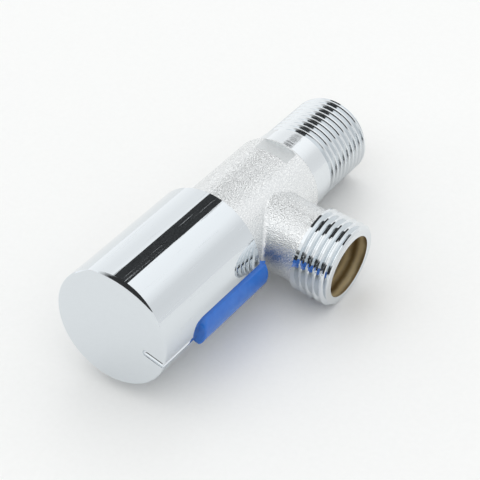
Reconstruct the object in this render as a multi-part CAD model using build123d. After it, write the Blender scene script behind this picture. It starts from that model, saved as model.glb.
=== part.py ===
from build123d import *
from build123d.topology import SkipClean
from math import asin, atan2, ceil, cos, degrees, radians, sin, tan
import os

os.makedirs("parts", exist_ok=True)

# Quarter-turn angle stop valve, in millimetres. The valve's axis is Y, with the wall towards +Y and the
# handle towards -Y. The outlet points along +X. The origin is the middle of the inlet thread.
# A station is a place along the valve's axis, measured from the outlet's axis and positive towards the wall.
# A clock angle is measured about the valve's axis from the outlet (+X) towards +Z.

# G1/2 parallel pipe thread, used on the inlet and the outlet
pipe_thread_d = 20.8
pipe_thread_pitch = 1.814
pipe_thread_depth = 1.16
pipe_thread_flank = 27.5
pipe_thread_root_flat = 0.2
thread_start_angle = 20.0
crest_sectors = 7

# body
inlet_end = 40.5
inlet_thread_length = 19.4
inlet_bore_d = 14.0
inlet_chamfer = 1.0
neck_d = pipe_thread_d + 0.5
body_d = 24.0
body_front = -20.0
body_back = 15.4
body_shoulder = 1.1
flat_across = 0.925 * body_d
flat_back = body_back - 1.0
flat_length = 4.7
seat_station = 9.0
seat_length = 4.0
relief_d = body_d - 4.4
relief_half_length = 6.6
outlet_neck_d = pipe_thread_d - 2.0
outlet_fillet = 1.0              # radius where the outlet neck runs into the barrel
outlet_thread_start = body_d / 2 + 7.9
outlet_thread_length = 9.95
outlet_chamfer = 0.75
outlet_bore_d = 15.7
outlet_bore_length = 16.45
outlet_port_d = 11.0

# M18x1 thread between the cartridge housing and the body
cartridge_thread_d = 18.0
cartridge_thread_pitch = 1.0
cartridge_thread_depth = 0.54
cartridge_thread_length = 6.0
cartridge_thread_clearance = 0.06
cartridge_thread_crest_flat = 0.14

# cartridge housing
housing_fit = 0.12
hex_across = cartridge_thread_d + 2.0
hex_height = 4.0
housing_foot = 8.4
chamber_d = cartridge_thread_d - 1.2
disc_bore_d = chamber_d - 3.6
stem_bore_d = disc_bore_d - 4.1
inner_shoulder = -6.8
window_angle = 130.0
window_top = -6.0
window_bottom = 0.2
stop_rib_d = disc_bore_d - 2.0
foot_notch_depth = 5.0
o_ring_section = 1.5
o_ring_squeeze = 0.12
housing_groove_station = -10.4

# ceramic discs, gasket and its support ring
running_fit = 0.05
face_gap = 0.02
disc_thickness = 3.0
disc_seat = 6.4
port_angle = 80.0
port_inner_r = 1.8
port_outer_r = disc_bore_d / 2 - 1.6
lug_angle = 24.0
drive_slot_width = 3.2
drive_slot_depth = 1.2
gasket_bore_d = disc_bore_d - 2.6
seat_bore_d = gasket_bore_d - 0.2
support_bore_d = gasket_bore_d - 1.4
support_height = 1.6

# spindle
stem_groove_stations = (-12.4, -16.6)
head_height = 1.8
blade_angle = 40.0
blade_core_d = 0.57 * stem_bore_d
spline_count = 20
spline_d = stem_bore_d - 0.3
spline_depth = 0.5
spline_length = 10.6
washer_thickness = 0.6
clip_thickness = 0.8
clip_groove_d = stem_bore_d - 1.7
clip_d = clip_groove_d + 5.0
closed_angle = -45.0

# handle
skirt_gap = 0.7
skirt_wall = 2.0
handle_back = -14.5
handle_length = 37.2
front_wall = 3.0
edge_round = 0.25
socket_across = spline_d + 3.6
boss_d = socket_across + 5.0
boss_gap = 3.0
adapter_end_wall = 4.4
coring_d = 9.6
coring_depth = 5.0
adapter_fit = 0.04
bevel_width = 2.1
bevel_offset = 5.4
bevel_arc_r = 4.5
bevel_start_slope = 6.0
bevel_angle = 78.0
index_angle = -10.0
index_groove_width = 1.6
index_groove_depth = 0.8
index_groove_length = 5.8

# index strip and the grub screw under it
strip_width = 8.3
strip_corner_r = 2.1
strip_front_gap = 13.15
strip_overhang = 1.1
strip_height = 1.84
strip_crown = 1.72                # how much higher the strip's middle is than its long edges
strip_edge_r = 0.5
strip_fit = 0.06
slot_edge_chamfer = 0.2
strip_foot_thickness = 0.85
strip_foot_side = 0.9
strip_foot_back = -28.0
strip_rib_thickness = 1.2
strip_rib_width = 4.6
spike_length = 0.8
spike_angle = 15.5
screw_d = 4.0
screw_fit = 0.02
screw_distance = 6.5
screw_length = 4.0
screw_tip_d = 2.6
screw_key_across = 2.0
screw_key_depth = 1.6

# places and sizes that follow from the ones above
outlet_y = inlet_thread_length / 2 - inlet_end
thread_r = pipe_thread_d / 2
outlet_end = outlet_thread_start + outlet_thread_length
outlet_bore_floor = outlet_end - outlet_bore_length
flat_front = flat_back - flat_length
housing_top = body_front - hex_height
spline_start = housing_top - 2.0
spline_end = spline_start - spline_length
skirt_r = body_d / 2 + skirt_gap
handle_r = skirt_r + skirt_wall
handle_d = 2 * handle_r
handle_front = handle_back - handle_length
boss_back = housing_top - boss_gap
socket_floor = spline_end - adapter_end_wall
coring_floor = socket_floor - coring_depth
index_groove_inner_r = handle_r - index_groove_length
strip_nose = handle_front + strip_front_gap
strip_back = handle_back + strip_overhang
strip_dome_r = (strip_width ** 2 / 4 + strip_crown ** 2) / (2 * strip_crown)
strip_foot_front = strip_nose - strip_foot_side
strip_foot_r = skirt_r - strip_foot_thickness
strip_rib_stations = (strip_nose + 2.6, boss_back - 1.4)
screw_station = spline_start - screw_distance
bevel_circle_r = handle_r + bevel_offset - bevel_width


def y_at(station):
    return outlet_y + station


def turned(*corners):
    """A body of revolution about the valve's axis from (radius, station) corners."""
    return revolve(make_face(Polyline(*[(r, y_at(s)) for r, s in corners], close=True)), Axis.Y)


def tube(outer_d, inner_d, start, end):
    return turned((inner_d / 2, start), (outer_d / 2, start), (outer_d / 2, end), (inner_d / 2, end))


def rod(d, start, end):
    return turned((0, start), (d / 2, start), (d / 2, end), (0, end))


def turn_to(shape, angle):
    """Turns a piece built at clock angle 0 to another clock angle."""
    return Rot(0, -angle, 0) * shape


def wedge(inner_r, outer_r, start, end, middle, width):
    """A ring sector, as turned() but only `width` degrees wide about the clock angle `middle`."""
    corners = [(inner_r, start), (outer_r, start), (outer_r, end), (inner_r, end)]
    face = make_face(Polyline(*[(r, y_at(s)) for r, s in corners], close=True))
    return turn_to(revolve(face, Axis.Y, width), middle + width / 2)


def cross_rod(d, start, end, station):
    """A rod along +X, square to the valve's axis."""
    return Pos((start + end) / 2, y_at(station), 0) * Rot(0, 90, 0) * Cylinder(d / 2, end - start)


def prism(across, sides, start, end):
    """A regular prism along the valve's axis with a flat facing clock angle 0."""
    corner_r = across / 2 / cos(radians(180 / sides))
    face = RegularPolygon(corner_r, sides, rotation=180 / sides)
    return Pos(0, y_at(end), 0) * Rot(90, 0, 0) * extrude(face, end - start)


def thread_turns(inner_r, outer_r, inner_width, outer_width, pitch, start, end):
    """The groove of a thread about Z, as one-turn helical ridges to be cut away."""
    path = Helix(pitch, pitch, inner_r)
    corners = [(inner_r, -inner_width / 2), (outer_r, -outer_width / 2)]
    corners += [(outer_r, outer_width / 2), (inner_r, inner_width / 2)]
    face = make_face(Polyline(*[(r, 0, z) for r, z in corners], close=True))
    turn = Rot(0, 0, thread_start_angle) * sweep(face, path=path, is_frenet=True)
    return [Pos(0, 0, start + i * pitch) * turn for i in range(ceil((end - start) / pitch))]


def pipe_groove(length):
    """The groove of the pipe thread about Z, starting beside the shoulder at z = 0 and running out at z = length."""
    over = 0.3
    mouth = pipe_thread_root_flat + 2 * (pipe_thread_depth + over) * tan(radians(pipe_thread_flank))
    return thread_turns(
        thread_r - pipe_thread_depth, thread_r + over, pipe_thread_root_flat, mouth, pipe_thread_pitch,
        mouth / 2, length + pipe_thread_pitch / 3,
    )


def thread_blank(*corners):
    """The blank of a pipe thread about Z, in sectors, so that each face left on its crest is a short arc."""
    width = 360 / crest_sectors
    face = make_face(Polyline(*[(r, 0, z) for r, z in corners], close=True))
    sector = Rot(0, 0, thread_start_angle + 1) * revolve(face, Axis.Z, width)
    return [Rot(0, 0, i * width) * sector for i in range(crest_sectors)]


def save(shape, name):
    export_step(shape, f"parts/{name}.step")


# ---- valve body: brass casting, turned, bored and threaded, then chromed ----
neck_r = neck_d / 2
thread_front = inlet_end - inlet_thread_length
root_r = thread_r - pipe_thread_depth
chamber_thread_r = cartridge_thread_d / 2
body_outside = turned(
    (0, body_front), (body_d / 2 - 0.5, body_front), (body_d / 2, body_front + 0.5),
    (body_d / 2, body_back), (neck_r, body_back), (neck_r, thread_front - 0.2), (thread_r, thread_front),
    (0, thread_front),
)
shoulder_edge = body_outside.edges().filter_by(GeomType.CIRCLE).filter_by(
    lambda e: abs(e.radius - body_d / 2) < 0.01 and abs(e.center().Y - y_at(body_back)) < 0.01
)
body_outside = fillet(shoulder_edge, body_shoulder)
for side in (1, -1):
    flat_middle = y_at((flat_front + flat_back) / 2)
    body_outside -= Pos(0, flat_middle, side * flat_across) * Box(
        body_d, flat_back - flat_front, flat_across
    )
outlet_neck = Pos(outlet_thread_start / 2, outlet_y, 0) * Rot(0, 90, 0) * Cylinder(
    outlet_neck_d / 2, outlet_thread_start
)
body = body_outside + outlet_neck
neck_joint = [
    edge for edge in body.edges()
    if abs(((edge @ 0.5).Y - outlet_y) ** 2 + (edge @ 0.5).Z ** 2 - (outlet_neck_d / 2) ** 2) < 0.01
    and abs((edge @ 0.5).X ** 2 + (edge @ 0.5).Z ** 2 - (body_d / 2) ** 2) < 0.01
]
body = fillet(neck_joint, outlet_fillet)
outlet_lead = 0.45
outlet_length = outlet_end - outlet_thread_start
inlet_place = Pos(0, y_at(thread_front), 0) * Rot(-90, 0, 0)
outlet_place = Pos(outlet_thread_start, outlet_y, 0) * Rot(0, 90, 0)
inlet_blank = thread_blank(
    (0, 0), (thread_r, 0), (thread_r, inlet_thread_length - inlet_chamfer),
    (root_r + 0.1, inlet_thread_length), (0, inlet_thread_length),
)
outlet_blank = thread_blank(
    (0, 0), (outlet_neck_d / 2, 0), (thread_r, outlet_lead), (thread_r, outlet_length - outlet_chamfer),
    (thread_r - outlet_chamfer, outlet_length), (0, outlet_length),
)

chamber_front_r = chamber_thread_r - cartridge_thread_depth
thread_in = body_front + cartridge_thread_length + 0.6
waterway = turned(
    (0, body_front - 1), (chamber_thread_r + 0.3, body_front - 1), (chamber_thread_r + 0.3, body_front + 0.2),
    (chamber_front_r, body_front + 0.9), (chamber_front_r, thread_in), (chamber_d / 2, thread_in + 0.2),
    (chamber_d / 2, -relief_half_length - 0.8), (relief_d / 2, -relief_half_length),
    (relief_d / 2, relief_half_length - 0.8), (chamber_d / 2, relief_half_length), (chamber_d / 2, seat_station),
    (seat_bore_d / 2, seat_station), (seat_bore_d / 2, seat_station + seat_length),
    (inlet_bore_d / 2, seat_station + seat_length + 1.2), (inlet_bore_d / 2, inlet_end + 1), (0, inlet_end + 1),
)
outlet_way = Pos(0, outlet_y, 0) * revolve(make_face(Polyline(
    (0, 0), (0, outlet_port_d / 2), (outlet_bore_floor - 1.2, outlet_port_d / 2),
    (outlet_bore_floor, outlet_bore_d / 2), (outlet_end + 1, outlet_bore_d / 2), (outlet_end + 1, 0), close=True,
)), Axis.X)

# the internal M18x1 thread: a groove outwards from the minor diameter
flank = tan(radians(30))
front_place = Pos(0, y_at(body_front), 0) * Rot(-90, 0, 0)
female_under = 0.15
female_mouth = cartridge_thread_crest_flat + 2 * (cartridge_thread_depth + female_under) * flank
female_groove = thread_turns(
    chamber_front_r - female_under, chamber_thread_r, female_mouth, cartridge_thread_crest_flat,
    cartridge_thread_pitch, -cartridge_thread_pitch, cartridge_thread_length + 1.0,
)
with SkipClean():
    body = body + [inlet_place * sector for sector in inlet_blank]
    body = body + [outlet_place * sector for sector in outlet_blank]
    body = body - waterway - outlet_way
    body -= [inlet_place * turn for turn in pipe_groove(inlet_thread_length)]
    body -= [outlet_place * turn for turn in pipe_groove(outlet_length)]
    body -= [front_place * turn for turn in female_groove]
save(body, "valve_body")

# ---- cartridge housing: turned brass, with a hex flange, two windows and two stop ribs inside ----
housing_d = chamber_d - 2 * housing_fit
male_r = chamber_thread_r - cartridge_thread_clearance
male_root_r = chamber_front_r - 1.6 * cartridge_thread_clearance
flange_station = body_front
thread_end = body_front + cartridge_thread_length
relief_r = male_root_r - 0.15
groove_width = o_ring_section + 0.5
o_ring_height = o_ring_section - o_ring_squeeze
groove_floor = chamber_d / 2 - 0.02 - o_ring_height
groove_a = housing_groove_station - groove_width / 2
groove_b = housing_groove_station + groove_width / 2
housing = turned(
    (0, housing_top + 0.3), (hex_across / 2 - 0.3, housing_top + 0.3), (hex_across / 2 - 0.3, flange_station),
    (relief_r, flange_station), (relief_r, flange_station + 1.0), (male_r, flange_station + 1.4),
    (male_r, thread_end - 0.6), (housing_d / 2, thread_end),
    (housing_d / 2, groove_a), (groove_floor, groove_a), (groove_floor, groove_b), (housing_d / 2, groove_b),
    (housing_d / 2, housing_foot - 0.3), (housing_d / 2 - 0.3, housing_foot), (0, housing_foot),
)
hexagon = prism(hex_across, 6, housing_top, flange_station)
hex_corner_r = hex_across / 2 / cos(radians(30))
hexagon &= turned(
    (0, housing_top), (hex_across / 2 - 0.2, housing_top), (hex_corner_r, housing_top + 0.8),
    (hex_corner_r, flange_station), (0, flange_station),
)
housing = housing + hexagon
male_over = 0.03
male_mouth = cartridge_thread_pitch - 1.2 * cartridge_thread_crest_flat
male_floor = male_mouth - 2 * (male_r + male_over - male_root_r) * flank
housing -= [front_place * turn for turn in thread_turns(
    male_root_r, male_r + male_over, male_floor, male_mouth, cartridge_thread_pitch,
    cartridge_thread_pitch / 2, cartridge_thread_length,
)]
housing -= rod(stem_bore_d, housing_top - 1, housing_foot + 1)
housing -= rod(disc_bore_d, inner_shoulder, housing_foot + 1)
rib_width = 180 - window_angle
rib_angle = closed_angle - 45
window_middle = closed_angle + 45
for half in (0, 180):
    housing -= wedge(
        stop_rib_d / 2, chamber_d / 2 + 1, window_top, window_bottom, window_middle + half, window_angle
    )
    housing += wedge(
        stop_rib_d / 2, disc_bore_d / 2 + 0.1, inner_shoulder, window_bottom, rib_angle + half, rib_width
    )
    housing -= wedge(
        disc_bore_d / 2 - 0.5, chamber_d / 2 + 1, housing_foot - foot_notch_depth, housing_foot + 1,
        rib_angle + half, lug_angle + 1,
    )
save(housing, "cartridge_housing")


def o_ring(inner_r, outer_r, station, section):
    """An O-ring squeezed between two walls: its section is flattened where it touches them."""
    middle = (inner_r + outer_r) / 2
    half = (outer_r - inner_r) / 2
    full = revolve(Pos(middle, y_at(station)) * Circle(section / 2), Axis.Y)
    return full & tube(2 * (middle + half), 2 * (middle - half), station - section, station + section)


save(
    o_ring(groove_floor, chamber_d / 2 - 0.01, housing_groove_station, o_ring_section), "housing_o_ring"
)

# ---- ceramic discs: the fixed one is keyed in the housing, the moving one carries the water shut-off ----
fixed_top = disc_seat - disc_thickness
moving_bottom = fixed_top - face_gap
moving_top = moving_bottom - disc_thickness
disc_r = disc_bore_d / 2 - running_fit
fixed_disc = rod(2 * disc_r, fixed_top, disc_seat)
for half in (0, 180):
    fixed_disc += wedge(
        disc_r - 0.2, housing_d / 2 - 0.3, fixed_top + 0.1, disc_seat, rib_angle + half, lug_angle
    )
    fixed_disc -= wedge(
        port_inner_r, port_outer_r, fixed_top - 1, disc_seat + 1, closed_angle + half, port_angle
    )
save(fixed_disc, "fixed_disc")

moving_disc = rod(2 * (disc_r - 0.1), moving_top, moving_bottom)
for half in (0, 180):
    moving_disc -= wedge(
        port_inner_r + 0.9, port_outer_r, moving_top - 1, moving_bottom + 1,
        closed_angle + 90 + half, port_angle,
    )
slot_middle = moving_top + drive_slot_depth / 2
moving_disc -= turn_to(
    Pos(0, y_at(slot_middle), 0) * Box(disc_bore_d, drive_slot_depth, drive_slot_width), closed_angle
)
save(moving_disc, "moving_disc")

# ---- gasket of silicone rubber between the fixed disc and the seat, with a stiff ring inside it ----
gasket_outer_r = disc_bore_d / 2 - 0.15
save(turned(
    (gasket_bore_d / 2, disc_seat), (gasket_outer_r, disc_seat), (gasket_outer_r, housing_foot - 0.2),
    (gasket_outer_r - 0.5, seat_station), (gasket_bore_d / 2 + 0.5, seat_station),
    (gasket_bore_d / 2, seat_station - 0.4),
), "seat_gasket")
save(tube(gasket_bore_d, support_bore_d, disc_seat, disc_seat + support_height), "gasket_support")

# ---- spindle: turned brass with a drive blade, two O-ring grooves, a clip groove and a splined end ----
stem_r = stem_bore_d / 2 - running_fit
lower_washer_top = inner_shoulder + face_gap
head_top = lower_washer_top + washer_thickness
head_bottom = head_top + head_height
upper_washer_bottom = housing_top - face_gap
clip_bottom = upper_washer_bottom - washer_thickness
clip_top = clip_bottom - clip_thickness
head_r = stop_rib_d / 2 - 0.15
stem_groove_floor = stem_bore_d / 2 - 0.02 - o_ring_height + 0.25
stem_ring_section = o_ring_section - 0.25
stem_groove_width = stem_ring_section + 0.4
stem_profile = [(0, head_bottom), (head_r, head_bottom), (head_r, head_top), (stem_r, head_top)]
for station in stem_groove_stations:
    a, b = station + stem_groove_width / 2, station - stem_groove_width / 2
    stem_profile += [(stem_r, a), (stem_groove_floor, a), (stem_groove_floor, b), (stem_r, b)]
stem_profile += [
    (stem_r, clip_bottom + 0.01), (clip_groove_d / 2, clip_bottom + 0.01), (clip_groove_d / 2, clip_top - 0.02),
    (stem_r, clip_top - 0.02), (stem_r, spline_start), (spline_d / 2, spline_start - 0.2),
    (spline_d / 2, spline_end + 0.6), (spline_d / 2 - 0.6, spline_end), (0, spline_end),
]
spindle = turned(*stem_profile)


def splined(crest_r, root_r, start, end):
    """A splined rod: straight teeth of equal width on a round core."""
    corners = []
    step = 360 / spline_count
    for tooth in range(spline_count):
        for r, share in ((root_r, -0.34), (crest_r, -0.17), (crest_r, 0.17), (root_r, 0.34)):
            angle = radians((tooth + share) * step)
            corners.append((r * cos(angle), r * sin(angle)))
    face = make_face(Polyline(*corners, close=True))
    return Pos(0, y_at(end), 0) * Rot(90, 0, 0) * extrude(face, end - start)


spline_root_r = spline_d / 2 - spline_depth
teeth = splined(spline_d / 2, spline_root_r, spline_end - 1, spline_start)
spindle -= tube(spline_d + 2, 1, spline_end - 1, spline_start - 0.4) - teeth - rod(
    2 * spline_root_r, spline_end - 1, spline_start
)
arms = wedge(0, disc_bore_d / 2 - 0.2, head_top, moving_top - 0.05, closed_angle, blade_angle)
arms += wedge(0, disc_bore_d / 2 - 0.2, head_top, moving_top - 0.05, closed_angle + 180, blade_angle)
hub = rod(blade_core_d, head_bottom, moving_top - 0.05)
tang = turn_to(
    Pos(0, y_at(slot_middle - 0.1), 0) * Box(disc_bore_d, drive_slot_depth, drive_slot_width - 0.1),
    closed_angle,
) & rod(2 * disc_r - 1.2, moving_top - 1, moving_bottom)
spindle = spindle + arms + hub + tang
save(spindle, "spindle")
for name, station in zip(("lower", "upper"), stem_groove_stations):
    ring = o_ring(stem_groove_floor, stem_bore_d / 2 - 0.01, station, stem_ring_section)
    save(ring, f"spindle_o_ring_{name}")

# ---- acetal slip washers and the retaining clip ----
save(
    tube(2 * head_r, 2 * stem_r + 0.1, lower_washer_top, head_top), "lower_slip_washer"
)
save(tube(14.0, 2 * stem_r + 0.1, clip_bottom, upper_washer_bottom), "upper_slip_washer")
clip = tube(clip_d, clip_groove_d + 0.04, clip_top, clip_bottom)
clip -= wedge(0, clip_d, clip_top - 1, clip_bottom + 1, 130, 50)
save(clip, "retaining_clip")

# ---- spline adapter: acetal, a hexagon outside and splines inside ----
adapter_start = boss_back + 0.4
adapter = turn_to(prism(socket_across - 2 * adapter_fit, 6, socket_floor, adapter_start), index_angle)
adapter -= splined(
    spline_d / 2 + adapter_fit, spline_root_r + adapter_fit, spline_end - 0.8, adapter_start + 1
)
adapter -= rod(2 * (spline_root_r + adapter_fit), spline_end - 0.8, adapter_start + 1)
screw_hole = turn_to(cross_rod(screw_d + 0.2, 0, socket_across, screw_station), index_angle)
adapter -= screw_hole
save(adapter, "spline_adapter")

# ---- handle: zinc casting, polished and chromed, with a boss for the adapter and a slot for the index strip ----
socket_corner_r = socket_across / 2 / cos(radians(30))
handle = turned(
    (0, handle_front), (handle_r - edge_round, handle_front), (handle_r, handle_front + edge_round),
    (handle_r, handle_back - 0.3), (handle_r - 0.3, handle_back), (skirt_r + 0.2, handle_back),
    (skirt_r, handle_back - 0.2), (skirt_r, handle_front + front_wall + 1), (skirt_r - 1, handle_front + front_wall),
    (boss_d / 2 + 0.8, handle_front + front_wall), (boss_d / 2, handle_front + front_wall + 0.8),
    (boss_d / 2, boss_back - 0.3), (boss_d / 2 - 0.3, boss_back), (0, boss_back),
)
handle -= turn_to(prism(socket_across, 6, socket_floor, boss_back + 1), index_angle)
handle -= rod(coring_d, coring_floor, socket_floor + 1)

# the crescent bevel: a rounded shoulder turned about an axis beside the handle's own
bevel_centre_r = bevel_circle_r - bevel_arc_r * sin(radians(bevel_start_slope))
bevel_centre_y = y_at(handle_front) + bevel_arc_r * cos(radians(bevel_start_slope))
bevel_slopes = (bevel_start_slope, bevel_start_slope + 18, bevel_start_slope + 36)
bevel_arc = [
    (bevel_centre_r + bevel_arc_r * sin(radians(a)), bevel_centre_y - bevel_arc_r * cos(radians(a)))
    for a in bevel_slopes
]
bevel_under = y_at(handle_front) - 1
bevel = revolve(make_face(Wire([
    ThreePointArc(*bevel_arc), Line(bevel_arc[2], (bevel_arc[2][0], bevel_under)),
    Line((bevel_arc[2][0], bevel_under), (bevel_arc[0][0], bevel_under)),
    Line((bevel_arc[0][0], bevel_under), bevel_arc[0]),
])), Axis.Y)
handle -= turn_to(Pos(-bevel_offset, 0, 0) * bevel, bevel_angle)

# the index groove: a round-bottomed flute from the face, over the edge and along the side to the strip
groove_r = index_groove_width / 2
face_groove = Pos(0, y_at(handle_front) - groove_r + index_groove_depth, 0) * (
    Pos((index_groove_inner_r + groove_r + handle_d) / 2, 0, 0)
    * Rot(0, 90, 0) * Cylinder(groove_r, handle_d - index_groove_inner_r - groove_r)
    + Pos(index_groove_inner_r + groove_r, 0, 0) * Sphere(groove_r)
)
side_groove = Pos(handle_r + groove_r - index_groove_depth, y_at((handle_front + strip_nose) / 2), 0) * (
    Rot(90, 0, 0) * Cylinder(groove_r, strip_nose - handle_front + 1)
)
handle -= turn_to(face_groove, index_angle)
handle -= turn_to(side_groove, index_angle)


def strip_plan(grow, back, height):
    """The index strip seen from outside: a bar with rounded corners at its nose, from the boss to `height`."""
    half = strip_width / 2 + grow
    front, end = y_at(strip_nose) - grow, y_at(back)
    bar = Pos(boss_d / 2 + height / 2, (front + end) / 2, 0) * Box(height, end - front, 2 * half)
    corners = bar.edges().filter_by(Axis.X).group_by(Axis.Y)[0]
    return fillet(corners, strip_corner_r + grow)


slot = strip_plan(strip_fit, handle_back + 1, handle_d) - rod(2 * (skirt_r - 0.5), strip_nose - 1, handle_back + 2)
handle -= turn_to(slot, index_angle)
slot_angle = degrees(asin((strip_width / 2 + strip_fit) / handle_r))
slot_rim = [
    edge for edge in handle.edges()
    if abs((edge @ 0.5).X ** 2 + (edge @ 0.5).Z ** 2 - handle_r ** 2) < 0.02
    and y_at(strip_nose) - 0.1 < (edge @ 0.5).Y < y_at(handle_back) - 1
    and abs(degrees(atan2((edge @ 0.5).Z, (edge @ 0.5).X)) - index_angle) < slot_angle + 0.1
]
handle = chamfer(slot_rim, slot_edge_chamfer)
handle -= turn_to(cross_rod(screw_d, socket_across / 4, boss_d / 2 + 1, screw_station), index_angle)
save(handle, "handle_shell")

# ---- index strip: blue ABS, slid in from the rear: a foot under the skirt and two ribs on the boss hold it ----
strip_dome_axis_r = handle_r + strip_height - strip_dome_r
dome = Pos(strip_dome_axis_r, y_at((strip_nose + strip_back) / 2), 0) * Rot(90, 0, 0) * Cylinder(
    strip_dome_r, strip_back - strip_nose + 4
)
strip = strip_plan(0, strip_back, handle_d) & (dome + rod(2 * handle_r, strip_nose - 1, strip_back + 1))
crown = [e for e in strip.edges() if e.center().X > handle_r - 0.4 and e.center().Y < y_at(strip_back) - 0.1]
strip = fillet(crown, strip_edge_r)
strip -= rod(2 * strip_foot_r, strip_nose - 1, strip_foot_back)
strip -= rod(2 * (skirt_r + 0.05), strip_foot_back, strip_back + 1)
foot_angle = 2 * degrees(asin((strip_width / 2 + strip_foot_side) / strip_foot_r))
strip += wedge(strip_foot_r, skirt_r - strip_fit, strip_foot_front, strip_foot_back, 0, foot_angle)
for station in strip_rib_stations:
    rib = Pos((boss_d / 2 + strip_foot_r) / 2, y_at(station), 0) * Box(
        strip_foot_r + 0.6 - boss_d / 2, strip_rib_thickness, strip_rib_width
    )
    strip += rib - rod(boss_d + 2 * adapter_fit, strip_nose, strip_back)
spike_root = y_at(strip_back) - 0.4
spike = extrude(make_face(Polyline(
    (handle_r - 1.2, spike_root), (handle_r + 0.35, spike_root), (handle_r + 0.1, spike_root + 0.4 + spike_length),
    close=True,
)), 0.25, both=True)
strip += turn_to(spike, spike_angle)
save(turn_to(strip, index_angle), "index_strip")

# ---- grub screw: M4, hexagon socket, cup point, in the boss and bearing on the splines ----
screw_inner = spline_d / 2 + 0.02
screw = cross_rod(screw_d - 2 * screw_fit, screw_inner + 0.7, screw_inner + screw_length, screw_station)
tip = revolve(make_face(Polyline(
    (screw_inner, 0), (screw_inner, screw_tip_d / 2), (screw_inner + 0.7, screw_d / 2 - screw_fit),
    (screw_inner + 0.7, 0), close=True,
)), Axis.X)
screw += Pos(0, y_at(screw_station), 0) * tip
key = Pos(screw_inner + screw_length - screw_key_depth, y_at(screw_station), 0) * Rot(0, 90, 0) * extrude(
    RegularPolygon(screw_key_across / 2 / cos(radians(30)), 6), screw_key_depth + 1
)
screw -= key
save(turn_to(screw, index_angle), "grub_screw")
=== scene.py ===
import bpy
from math import cos, hypot, radians, sin
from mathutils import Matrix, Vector

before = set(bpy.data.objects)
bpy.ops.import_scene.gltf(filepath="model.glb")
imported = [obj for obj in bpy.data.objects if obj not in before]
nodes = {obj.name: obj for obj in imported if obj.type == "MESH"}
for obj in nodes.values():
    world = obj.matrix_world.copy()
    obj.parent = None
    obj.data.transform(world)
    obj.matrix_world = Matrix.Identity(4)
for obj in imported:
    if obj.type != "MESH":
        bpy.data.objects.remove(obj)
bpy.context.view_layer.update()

bpy.ops.object.select_all(action="DESELECT")


def linear(hex_colour):
    """An sRGB hex colour as linear RGBA."""
    parts = [int(hex_colour[i:i + 2], 16) / 255 for i in (1, 3, 5)]
    return tuple(c / 12.92 if c <= 0.04045 else ((c + 0.055) / 1.055) ** 2.4 for c in parts) + (1.0,)


def add(tree, kind, settings=None, **links):
    """Adds a shader node, sets its fields, and fills or links its sockets by number or name."""
    made = tree.nodes.new(kind)
    for field, value in (settings or {}).items():
        setattr(made, field, value)
    for socket, value in links.items():
        target = made.inputs[int(socket[1:])] if socket[0] == "_" else made.inputs[socket.replace("_", " ")]
        if isinstance(value, bpy.types.NodeSocket):
            tree.links.new(value, target)
        else:
            target.default_value = value
    return made


def finish(name, colour, metallic, roughness):
    """A new material: its tree, its Principled surface and the object's own coordinates in metres."""
    made = bpy.data.materials.new(name)
    made.use_nodes = True
    surface = made.node_tree.nodes["Principled BSDF"]
    surface.inputs["Base Color"].default_value = linear(colour)
    surface.inputs["Metallic"].default_value = metallic
    surface.inputs["Roughness"].default_value = roughness
    place = add(made.node_tree, "ShaderNodeTexCoord").outputs["Object"]
    return made, made.node_tree, surface, place


def give(material, *names):
    for name in names:
        piece = nodes[name]
        piece.data.materials.clear()
        piece.data.materials.append(material)


# ---- Valve body -------------------------------------------------------------------------------------------
# One brass casting. Its skin was blasted and keeps that grain under the chrome, the neck and both threads
# were turned bright before plating, and the bores were cut and left as bare brass.
blasted, t, surface, place = finish("chrome_over_blasted_brass", "#DFE3E6", 1.0, 0.2)
# the grit left dimples about 0.3 mm wide, which break every reflection into sparkles, over a softer
# unevenness of about 0.4 mm in the casting's own skin
dimples = add(t, "ShaderNodeTexVoronoi", Vector=place, Scale=3600.0)
waves = add(t, "ShaderNodeTexNoise", Vector=place, Scale=2400.0, Detail=2.0)
fine = add(t, "ShaderNodeBump", Strength=1.0, Distance=0.00009, Height=dimples.outputs[0])
coarse = add(
    t, "ShaderNodeBump", Strength=1.0, Distance=0.00005, Height=waves.outputs[0], Normal=fine.outputs[0],
)
t.links.new(coarse.outputs[0], surface.inputs["Normal"])
# painted shade: the hollows of the dimples are painted a little greyer than their rims
dimple_shade = add(
    t, "ShaderNodeMix", {"data_type": "RGBA"}, Factor=dimples.outputs[0], _6=linear("#DADDDF"),
    _7=linear("#FAFBFB"),
)
t.links.new(dimple_shade.outputs[2], surface.inputs["Base Color"])

bright, t, surface, place = finish("bright_chrome_over_turned_brass", "#E3E7EA", 1.0, 0.07)
# the lathe left fine rings about the valve's axis, about 0.25 mm apart, drawn as noise stretched round it
stretch = add(t, "ShaderNodeMapping", Vector=place, Scale=(60.0, 4000.0, 60.0))
rings = add(t, "ShaderNodeTexNoise", Vector=stretch.outputs[0], Scale=1.0, Detail=2.0)
marks = add(t, "ShaderNodeBump", Strength=0.35, Distance=0.00002, Height=rings.outputs[0])
t.links.new(marks.outputs[0], surface.inputs["Normal"])
smear = add(t, "ShaderNodeMapRange", Value=rings.outputs[0], _1=0.3, _2=0.7, _3=0.05, _4=0.13)
t.links.new(smear.outputs[0], surface.inputs["Roughness"])

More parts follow.
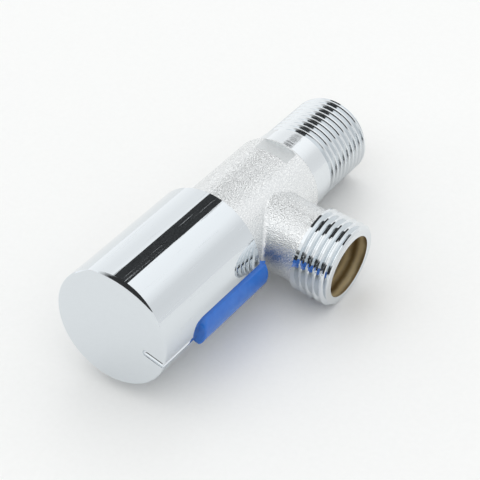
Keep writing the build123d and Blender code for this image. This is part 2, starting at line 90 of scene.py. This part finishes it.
# the two spanner flats were milled and then blasted harder, so they only scatter the light
milled, t, surface, place = finish("chrome_over_milled_flat", "#E4E7E8", 1.0, 0.38)
pits = add(t, "ShaderNodeTexNoise", Vector=place, Scale=3400.0, Detail=2.0, Roughness=0.6)
pitted = add(t, "ShaderNodeBump", Strength=1.0, Distance=0.00022, Height=pits.outputs[0])
t.links.new(pitted.outputs[0], surface.inputs["Normal"])
# painted shade: the pits are painted darker than the tops between them
pit_shade = add(
    t, "ShaderNodeMix", {"data_type": "RGBA"}, Factor=pits.outputs[0], _6=linear("#D6DADC"),
    _7=linear("#F6F8F8"),
)
t.links.new(pit_shade.outputs[2], surface.inputs["Base Color"])

bare, t, surface, place = finish("bare_bored_brass", "#D9C89C", 1.0, 0.55)
# boring-bar rings about 0.8 mm apart, under a brown film of cutting oil that dried in uneven rings 3 mm wide
film = add(
    t, "ShaderNodeTexWave", {"bands_direction": "X"}, Vector=place, Scale=105.0, Distortion=3.0, Detail=3.0,
)
tint = add(
    t, "ShaderNodeMix", {"data_type": "RGBA"}, Factor=film.outputs[1], _6=linear("#8E7852"),
    _7=linear("#F4E6C2"),
)
t.links.new(tint.outputs[2], surface.inputs["Base Color"])
bored = add(t, "ShaderNodeTexWave", {"bands_direction": "X"}, Vector=place, Scale=400.0, Distortion=1.5)
cuts = add(t, "ShaderNodeBump", Strength=0.4, Distance=0.00003, Height=bored.outputs[1])
t.links.new(cuts.outputs[0], surface.inputs["Normal"])

give(blasted, "valve_body")
body = nodes["valve_body"].data
body.materials.append(bright)
body.materials.append(bare)
body.materials.append(milled)
outlet_y = -0.0308
neck_start = -0.0154
outlet_thread_start = 0.0199
inlet_bore_edge, inlet_bore_floor = 0.0071, -0.019
chamber_edge, chamber_front, chamber_floor = 0.0099, -0.0505, -0.0178
outlet_bore_edge, outlet_bore_floor = 0.0079, 0.004
flat_height, flat_front = 0.011, -0.0216
for face in body.polygons:
    x, y, z = face.center
    from_axis, from_outlet_axis = hypot(x, z), hypot(y - outlet_y, z)
    in_inlet = from_axis < inlet_bore_edge and y > inlet_bore_floor
    in_chamber = from_axis < chamber_edge and chamber_front < y < chamber_floor
    in_outlet = from_outlet_axis < outlet_bore_edge and x > outlet_bore_floor
    if in_inlet or in_chamber or in_outlet:
        face.material_index = 2
    elif y > neck_start - 0.00002 or x > outlet_thread_start:
        face.material_index = 1
    elif abs(face.normal.z) > 0.999 and abs(z) > flat_height and y > flat_front:
        face.material_index = 3

# ---- Cartridge housing and spindle ------------------------------------------------------------------------
# Both are turned from yellow brass bar and left bright: rings of tool marks, and a warm film of handling.
turned_brass, t, surface, place = finish("turned_brass", "#C8A35C", 1.0, 0.22)
# feed marks 0.6 mm apart along the valve's axis
feed = add(t, "ShaderNodeTexWave", {"bands_direction": "Y"}, Vector=place, Scale=520.0, Distortion=1.0)
feed_bump = add(t, "ShaderNodeBump", Strength=0.3, Distance=0.00002, Height=feed.outputs[1])
t.links.new(feed_bump.outputs[0], surface.inputs["Normal"])
handling = add(t, "ShaderNodeTexNoise", Vector=place, Scale=260.0, Detail=3.0)
warm = add(
    t, "ShaderNodeMix", {"data_type": "RGBA"}, Factor=handling.outputs[0], _6=linear("#B08A45"),
    _7=linear("#DDBD78"),
)
t.links.new(warm.outputs[2], surface.inputs["Base Color"])
give(turned_brass, "cartridge_housing", "spindle")

# ---- O-rings ----------------------------------------------------------------------------------------------
# Moulded nitrile rubber, greased: near black, with a soft uneven sheen where the grease lies.
nitrile, t, surface, place = finish("greased_nitrile", "#1B1B1C", 0.0, 0.4)
surface.inputs["IOR"].default_value = 1.52
grease = add(t, "ShaderNodeTexNoise", Vector=place, Scale=900.0, Detail=2.0)
sheen = add(t, "ShaderNodeMapRange", Value=grease.outputs[0], _1=0.3, _2=0.7, _3=0.22, _4=0.6)
t.links.new(sheen.outputs[0], surface.inputs["Roughness"])
give(nitrile, "housing_o_ring", "spindle_o_ring_upper", "spindle_o_ring_lower")

# ---- Slip washers and spline adapter ----------------------------------------------------------------------
# Acetal: the washers are stamped from sheet and the adapter is moulded, both milky white with a waxy skin.
acetal, t, surface, place = finish("milky_acetal", "#E9E8E2", 0.0, 0.42)
surface.inputs["IOR"].default_value = 1.48
surface.inputs["Subsurface Weight"].default_value = 0.15
surface.inputs["Subsurface Radius"].default_value = (0.0012, 0.001, 0.0008)
skin = add(t, "ShaderNodeTexNoise", Vector=place, Scale=1500.0, Detail=2.0)
skin_bump = add(t, "ShaderNodeBump", Strength=0.3, Distance=0.00002, Height=skin.outputs[0])
t.links.new(skin_bump.outputs[0], surface.inputs["Normal"])
give(acetal, "lower_slip_washer", "upper_slip_washer", "spline_adapter")

# ---- Retaining clip ---------------------------------------------------------------------------------------
# An open ring stamped from spring steel and phosphated: dark grey with a fine crystalline mottle.
phosphate, t, surface, place = finish("phosphated_spring_steel", "#4A4A4D", 1.0, 0.5)
crystals = add(t, "ShaderNodeTexVoronoi", Vector=place, Scale=2500.0)
shade = add(
    t, "ShaderNodeMix", {"data_type": "RGBA"}, Factor=crystals.outputs[0], _6=linear("#3C3C40"),
    _7=linear("#646468"),
)
t.links.new(shade.outputs[2], surface.inputs["Base Color"])
give(phosphate, "retaining_clip")

# ---- Ceramic discs ----------------------------------------------------------------------------------------
# Sintered alumina, lapped flat: ivory white, silky, with faint grey specks.
alumina, t, surface, place = finish("lapped_alumina", "#EDEAE0", 0.0, 0.25)
surface.inputs["IOR"].default_value = 1.76
specks = add(t, "ShaderNodeTexNoise", Vector=place, Scale=3000.0, Detail=2.0)
speckled = add(
    t, "ShaderNodeMix", {"data_type": "RGBA"}, Factor=specks.outputs[0], _6=linear("#DAD6CB"),
    _7=linear("#F6F4EC"),
)
t.links.new(speckled.outputs[2], surface.inputs["Base Color"])
give(alumina, "moving_disc", "fixed_disc")

# ---- Seat gasket ------------------------------------------------------------------------------------------
# Moulded silicone rubber: translucent grey-white, with a matt bloom.
silicone, t, surface, place = finish("moulded_silicone", "#C9CBC6", 0.0, 0.5)
surface.inputs["IOR"].default_value = 1.41
surface.inputs["Subsurface Weight"].default_value = 0.3
surface.inputs["Subsurface Radius"].default_value = (0.001, 0.001, 0.001)
bloom = add(t, "ShaderNodeTexNoise", Vector=place, Scale=700.0, Detail=2.0)
matt = add(t, "ShaderNodeMapRange", Value=bloom.outputs[0], _1=0.3, _2=0.7, _3=0.4, _4=0.65)
t.links.new(matt.outputs[0], surface.inputs["Roughness"])
give(silicone, "seat_gasket")

# ---- Gasket support ring ----------------------------------------------------------------------------------
# A band of stainless strip rolled into a ring: brushed round, so its shine runs across the strip.
stainless, t, surface, place = finish("rolled_stainless", "#B9BBBD", 1.0, 0.28)
drawn = add(t, "ShaderNodeMapping", Vector=place, Scale=(80.0, 5000.0, 80.0))
brush = add(t, "ShaderNodeTexNoise", Vector=drawn.outputs[0], Scale=1.0, Detail=2.0)
brush_bump = add(t, "ShaderNodeBump", Strength=0.4, Distance=0.00002, Height=brush.outputs[0])
t.links.new(brush_bump.outputs[0], surface.inputs["Normal"])
give(stainless, "gasket_support")

# ---- Grub screw -------------------------------------------------------------------------------------------
# Alloy steel, blackened in hot salts and oiled: blue-black, slightly blotched.
blackened, t, surface, place = finish("blackened_steel", "#26272A", 1.0, 0.38)
blotch = add(t, "ShaderNodeTexNoise", Vector=place, Scale=1200.0, Detail=3.0)
oiled = add(
    t, "ShaderNodeMix", {"data_type": "RGBA"}, Factor=blotch.outputs[0], _6=linear("#1D1E22"),
    _7=linear("#3A3B40"),
)
t.links.new(oiled.outputs[2], surface.inputs["Base Color"])
give(blackened, "grub_screw")

# ---- Handle -----------------------------------------------------------------------------------------------
# Zinc die casting, polished on a wheel and chromed: a mirror, with hairline wipe marks along its length.
handle_chrome, t, surface, place = finish("polished_chrome_on_zinc", "#DEE3E7", 1.0, 0.03)
# hairlines 0.1 mm wide would not show, so they are drawn 0.4 mm wide and 18 mm long
along = add(t, "ShaderNodeMapping", Vector=place, Scale=(2600.0, 55.0, 2600.0))
hairs = add(t, "ShaderNodeTexNoise", Vector=along.outputs[0], Scale=1.0, Detail=2.0)
dulled = add(t, "ShaderNodeMapRange", Value=hairs.outputs[0], _1=0.6, _2=0.72, _3=0.03, _4=0.3)
# the flat face at the front end was polished last and has none
depth = add(t, "ShaderNodeSeparateXYZ", _0=place)
skirt = add(t, "ShaderNodeMapRange", Value=depth.outputs[1], _1=-0.0823, _2=-0.0815, _3=0.0, _4=1.0)
wiped = add(t, "ShaderNodeMix", Factor=skirt.outputs[0], _2=0.03, _3=dulled.outputs[0])
t.links.new(wiped.outputs[0], surface.inputs["Roughness"])
hair_bump = add(t, "ShaderNodeBump", Strength=0.12, Distance=0.00001, Height=hairs.outputs[0])
t.links.new(hair_bump.outputs[0], surface.inputs["Normal"])
give(handle_chrome, "handle_shell")

# ---- Index strip ------------------------------------------------------------------------------------------
# Injection-moulded ABS coloured right through in mid blue: glossy, with a faint ripple from the mould.
strip_blue, t, surface, place = finish("moulded_blue_abs", "#2468C8", 0.0, 0.22)
surface.inputs["IOR"].default_value = 1.53
flow = add(t, "ShaderNodeTexNoise", Vector=place, Scale=420.0, Detail=2.0)
ripple = add(t, "ShaderNodeBump", Strength=0.25, Distance=0.00008, Height=flow.outputs[0])
t.links.new(ripple.outputs[0], surface.inputs["Normal"])
streak = add(
    t, "ShaderNodeMix", {"data_type": "RGBA"}, Factor=flow.outputs[0], _6=linear("#1B60BE"),
    _7=linear("#2C76D2"),
)
t.links.new(streak.outputs[2], surface.inputs["Base Color"])
give(strip_blue, "index_strip")

# ---- Table ------------------------------------------------------------------------------------------------
# A pale matt table. The valve lies on its handle, its outlet's rim and the end of its inlet thread, so the
# table leans a little in the valve's own frame.
up = Vector((-0.108, -0.0785, 0.99105)).normalized()
resting = [v.co for name in ("handle_shell", "valve_body", "index_strip") for v in nodes[name].data.vertices]
lowest = min(up.dot(co) for co in resting)
bpy.ops.mesh.primitive_plane_add(size=4.0)
table = bpy.context.object
table.name = "table"
table.data.transform(Vector((0, 0, 1)).rotation_difference(up).to_matrix().to_4x4())
for v in table.data.vertices:
    v.co += up * lowest
matt_white, t, surface, place = finish("matt_white_laminate", "#F3F3F2", 0.0, 0.85)
grain = add(t, "ShaderNodeTexNoise", Vector=place, Scale=900.0, Detail=2.0)
paper = add(
    t, "ShaderNodeMix", {"data_type": "RGBA"}, Factor=grain.outputs[0], _6=linear("#F1F1F0"),
    _7=linear("#F5F5F4"),
)
t.links.new(paper.outputs[2], surface.inputs["Base Color"])
table.data.materials.append(matt_white)

# ---- Studio light -----------------------------------------------------------------------------------------
# A white tent, brighter on the left, dimmer halfway up and dark low in front. A long dark card over the valve
# gives the dark band on the chrome, and one soft lamp from behind on the left gives the shadow.
world = bpy.data.worlds.new("studio")
world.use_nodes = True
w = world.node_tree
direction = add(w, "ShaderNodeSeparateXYZ", _0=add(w, "ShaderNodeTexCoord").outputs["Generated"])
side = add(w, "ShaderNodeMapRange", Value=direction.outputs[0], _1=-0.7, _2=0.9, _3=0.0, _4=1.0)
tent = add(
    w, "ShaderNodeMix", {"data_type": "RGBA"}, Factor=side.outputs[0], _6=(1.2, 1.21, 1.21, 1.0),
    _7=(0.94, 0.95, 0.955, 1.0),
)
top = add(w, "ShaderNodeValToRGB", Fac=direction.outputs[2])
for stop, grey in zip(top.color_ramp.elements, (0.93, 1.0)):
    stop.color = (grey, grey, grey, 1.0)
for height, grey in ((0.4, 0.84), (0.54, 0.85), (0.7, 1.06)):
    top.color_ramp.elements.new(height).color = (grey, grey, grey, 1.0)
room = add(w, "ShaderNodeMapRange", Value=direction.outputs[1], _1=-0.9, _2=-0.84, _3=0.04, _4=1.0)
below = add(w, "ShaderNodeMapRange", Value=direction.outputs[2], _1=0.34, _2=0.38, _3=0.0, _4=1.0)
front = add(w, "ShaderNodeMath", {"operation": "MAXIMUM"}, _0=room.outputs[0], _1=below.outputs[0])
level = add(w, "ShaderNodeMath", {"operation": "MULTIPLY"}, _0=top.outputs[0], _1=front.outputs[0])
w.links.new(tent.outputs[2], w.nodes["Background"].inputs[0])
w.links.new(level.outputs[0], w.nodes["Background"].inputs[1])
bpy.context.scene.world = world

gap_angle = radians(113)
gap_distance = 1.2
gap_half_width = 0.30
gap_half_length = 0.605
gap_middle = 0.565
bpy.ops.mesh.primitive_plane_add(size=1.0)
gap = bpy.context.object
gap.name = "dark_gap"
centre = Vector((gap_distance * cos(gap_angle), gap_middle, gap_distance * sin(gap_angle)))
across = Vector((-sin(gap_angle), 0, cos(gap_angle)))
for v, (a, b) in zip(gap.data.vertices, ((-1, -1), (1, -1), (-1, 1), (1, 1))):
    v.co = centre + across * gap_half_width * a + Vector((0, 1, 0)) * gap_half_length * b
felt, t, surface, place = finish("black_felt", "#303132", 0.0, 1.0)
fibres = add(t, "ShaderNodeTexNoise", Vector=place, Scale=60.0, Detail=2.0)
nap = add(
    t, "ShaderNodeMix", {"data_type": "RGBA"}, Factor=fibres.outputs[0], _6=linear("#2A2B2C"),
    _7=linear("#3A3B3C"),
)
t.links.new(nap.outputs[2], surface.inputs["Base Color"])
gap.data.materials.append(felt)
# the card is only there to be mirrored, so it takes no light from the table
gap.visible_shadow = False
gap.visible_diffuse = False

lamp_place = Vector((-0.55, 0.55, 0.9))
bpy.ops.object.light_add(type="AREA", location=lamp_place)
lamp = bpy.context.object
lamp.name = "soft_lamp"
lamp.data.size = 0.5
lamp.data.energy = 0.7
# the lamp is kept out of the mirror of the chrome, which shows only the tent and the card
lamp.visible_glossy = False
lamp.rotation_euler = (lamp_place - Vector((0, -0.03, 0))).to_track_quat("Z", "Y").to_euler()

# ---- Camera -----------------------------------------------------------------------------------------------
bpy.ops.object.camera_add(
    location=(0.16806, -0.33254, 0.28840), rotation=(radians(49.045), radians(-5.701), radians(33.988))
)
camera = bpy.context.object
camera.data.sensor_width = 36.0
camera.data.lens = 142.65
camera.data.clip_start = 0.01
bpy.context.scene.camera = camera
bpy.context.scene.view_settings.view_transform = "Standard"
